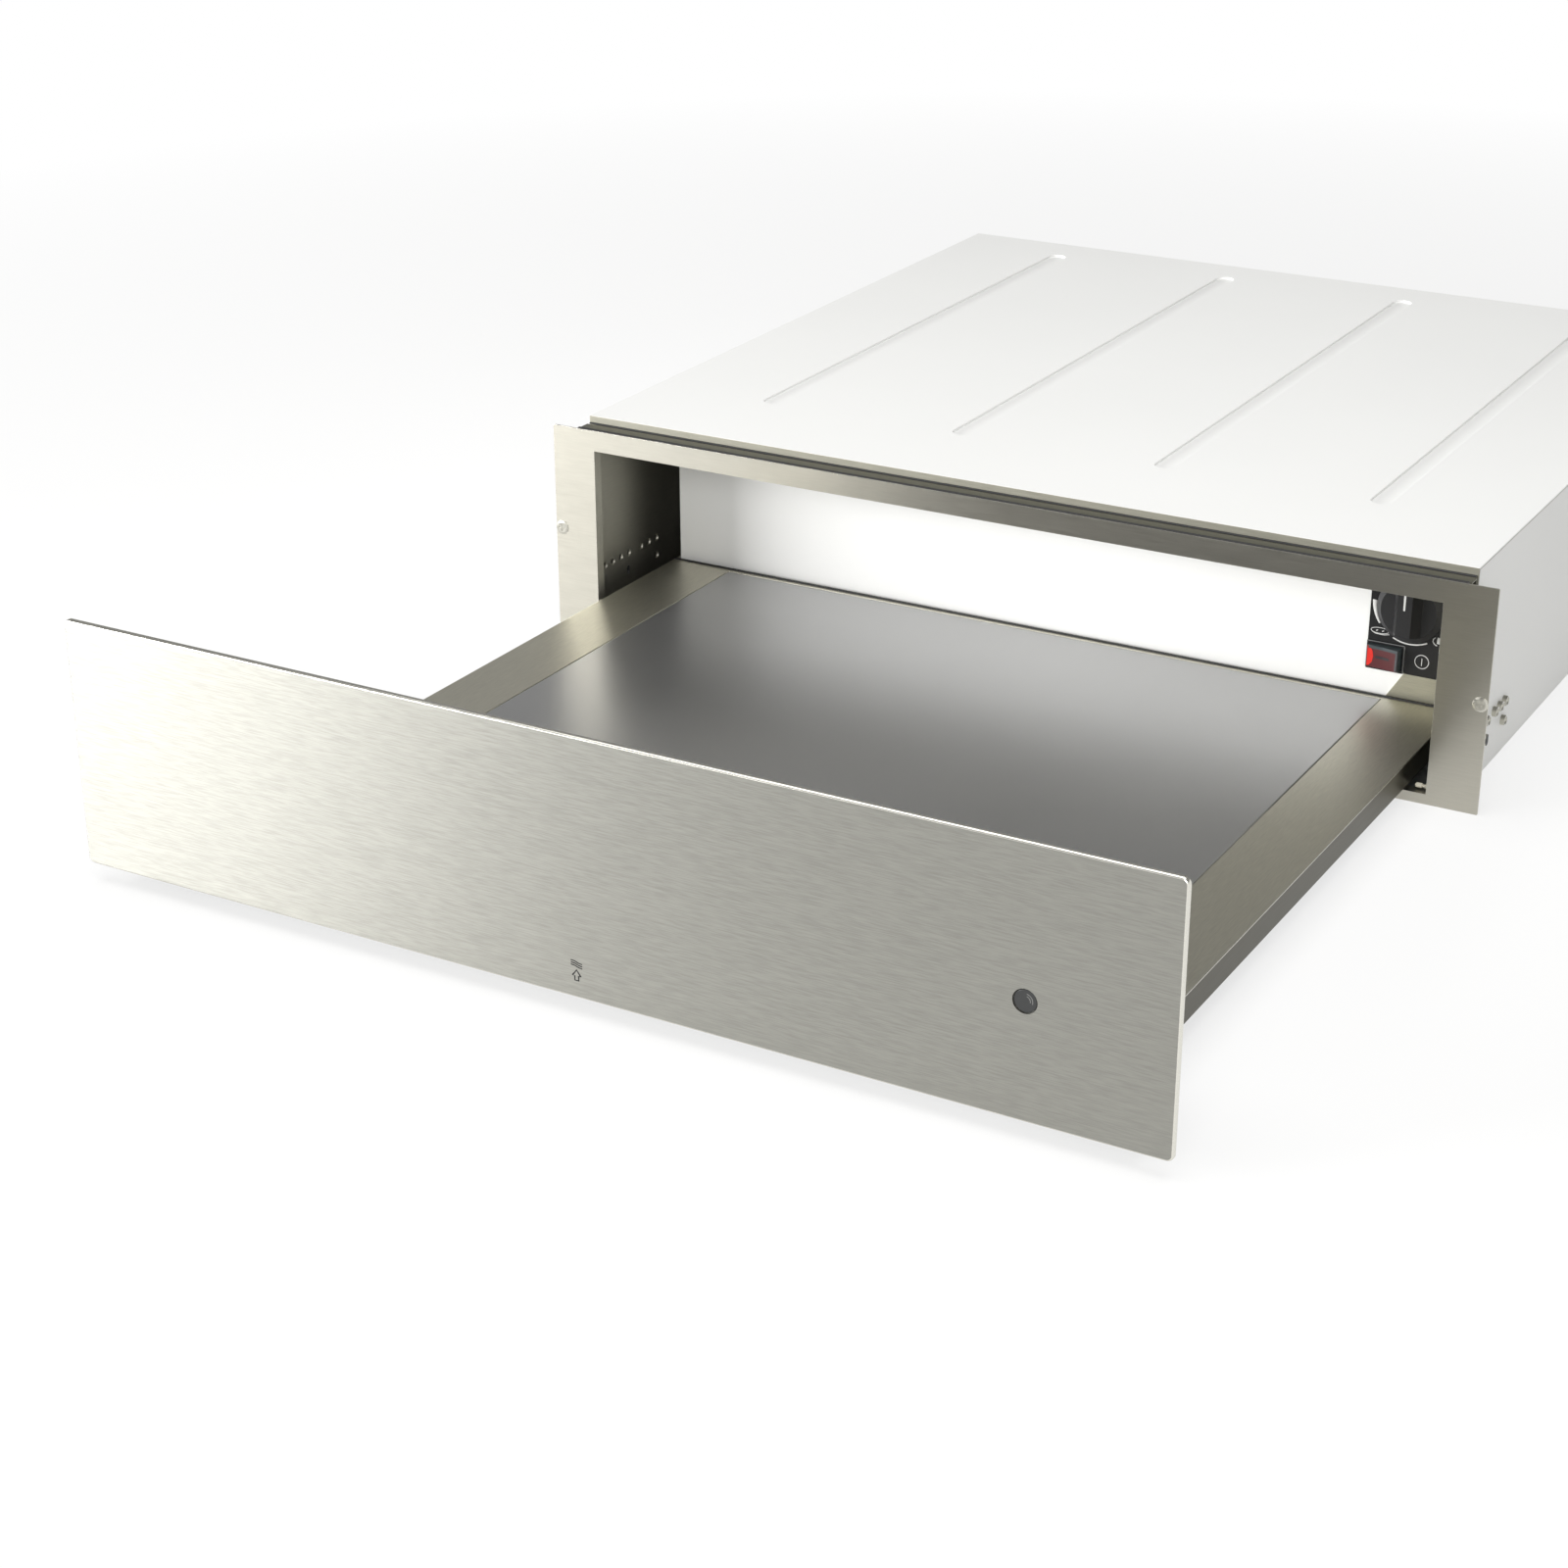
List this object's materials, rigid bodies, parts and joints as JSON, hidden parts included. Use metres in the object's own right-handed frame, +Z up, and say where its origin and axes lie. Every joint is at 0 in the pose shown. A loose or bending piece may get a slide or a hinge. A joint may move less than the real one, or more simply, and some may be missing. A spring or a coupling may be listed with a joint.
{
  "type": "built-in warming drawer",
  "caption": "Built-in warming drawer, pulled out on ball runners: steel front panel, heated glass tray, and a control box at the tray's back with a dial and a rocker switch.",
  "frame": {"origin": "centre of the housing's underside, midway between the front frame's face and the housing's back", "axes": "+X to the right as the user faces the drawer, +Y into the cabinet, +Z up"},
  "size_m": [0.595, 0.9848, 0.1423],
  "materials": {
    "brushed_steel": "brushed, satin",
    "galvanised_steel": "galvanised, dull",
    "zinc_steel": "zinc plated, bright",
    "light_sheet": "pale satin coat",
    "grey_glass": "satin, printed from below",
    "black_gloss": "gloss",
    "black_matte": "matt",
    "red_plastic": "translucent, gloss",
    "dark_lens": "smoked, gloss",
    "nylon": "natural",
    "pale_block": "matt",
    "seal_rubber": "matt",
    "heater_steel": "heat tinted",
    "mineral_felt": "needled felt",
    "brass_strip": "rolled"
  },
  "bodies": {
    "housing": {"front_frame": "brushed_steel", "top_channel": "brushed_steel", "housing_floor": "galvanised_steel", "housing_side_left": "galvanised_steel", "housing_side_right": "galvanised_steel", "housing_back": "galvanised_steel", "housing_top": "galvanised_steel", "housing_screws": "zinc_steel", "mains_gland": "black_matte", "side_guides": "nylon", "rail_support_left": "galvanised_steel", "rail_support_right": "galvanised_steel", "fixed_rail_left": "zinc_steel", "fixed_rail_right": "zinc_steel", "latch_body": "black_matte"},
    "drawer": {"drawer_rail_left": "zinc_steel", "drawer_rail_right": "zinc_steel", "front_panel": "brushed_steel", "panel_liner": "galvanised_steel", "panel_seal": "seal_rubber", "panel_gussets": "galvanised_steel", "indicator_lens": "dark_lens", "lamp_holder": "black_matte", "tray_frame": "brushed_steel", "deck_glass": "grey_glass", "heating_tube": "heater_steel", "insulation_pad": "mineral_felt", "overheat_cutout": "brass_strip", "tray_bottom": "galvanised_steel", "box_base": "galvanised_steel", "box_front": "light_sheet", "box_cover": "galvanised_steel", "box_screws": "zinc_steel", "terminal_block": "pale_block", "latch_striker": "zinc_steel", "control_plate": "brushed_steel", "control_fascia": "black_gloss", "thermostat_body": "brass_strip", "switch_body": "black_gloss"},
    "runner_left": {"mid_rail_left": "zinc_steel"},
    "runner_right": {"mid_rail_right": "zinc_steel"},
    "outer_balls_left": {"outer_cage_left": "brass_strip"},
    "outer_balls_right": {"outer_cage_right": "brass_strip"},
    "inner_balls_left": {"inner_cage_left": "brass_strip"},
    "inner_balls_right": {"inner_cage_right": "brass_strip"},
    "plunger": {"latch_plunger": "nylon"},
    "dial": {"control_knob": "black_gloss", "thermostat_shaft": "zinc_steel"},
    "rocker": {"switch_rocker": "red_plastic"}
  },
  "joints": [
    {"name": "drawer_slide", "type": "slide", "parent": "housing", "child": "drawer", "axis": [0, -1, 0], "range_m": [-0.4003, 0]},
    {"name": "outer_balls_left_slide", "type": "slide", "parent": "housing", "child": "outer_balls_left", "axis": [0, -1, 0], "range_m": [-0.10007, 0]},
    {"name": "outer_balls_right_slide", "type": "slide", "parent": "housing", "child": "outer_balls_right", "axis": [0, -1, 0], "range_m": [-0.10007, 0]},
    {"name": "runner_left_slide", "type": "slide", "parent": "housing", "child": "runner_left", "axis": [0, -1, 0], "range_m": [-0.20015, 0]},
    {"name": "runner_right_slide", "type": "slide", "parent": "housing", "child": "runner_right", "axis": [0, -1, 0], "range_m": [-0.20015, 0]},
    {"name": "inner_balls_left_slide", "type": "slide", "parent": "housing", "child": "inner_balls_left", "axis": [0, -1, 0], "range_m": [-0.30023, 0]},
    {"name": "inner_balls_right_slide", "type": "slide", "parent": "housing", "child": "inner_balls_right", "axis": [0, -1, 0], "range_m": [-0.30023, 0]},
    {"name": "plunger_slide", "type": "slide", "parent": "housing", "child": "plunger", "axis": [0, -1, 0], "range_m": [-0.003, 0], "stiffness_N_per_m": 250},
    {"name": "dial_turn", "type": "hinge", "parent": "drawer", "child": "dial", "pos_m": [0.2245, -0.1968, 0.0803], "axis": [0, 1, 0], "range_deg": [0, 300]},
    {"name": "rocker_tilt", "type": "hinge", "parent": "drawer", "child": "rocker", "pos_m": [0.21155, -0.196, 0.0493], "axis": [0, 0, 1], "range_deg": [0, 15]}
  ],
  "couplings": [
    {"joint": "outer_balls_left_slide", "follows": "drawer_slide", "ratio": 0.25},
    {"joint": "outer_balls_right_slide", "follows": "drawer_slide", "ratio": 0.25},
    {"joint": "runner_left_slide", "follows": "drawer_slide", "ratio": 0.5},
    {"joint": "runner_right_slide", "follows": "drawer_slide", "ratio": 0.5},
    {"joint": "inner_balls_left_slide", "follows": "drawer_slide", "ratio": 0.75},
    {"joint": "inner_balls_right_slide", "follows": "drawer_slide", "ratio": 0.75}
  ]
}
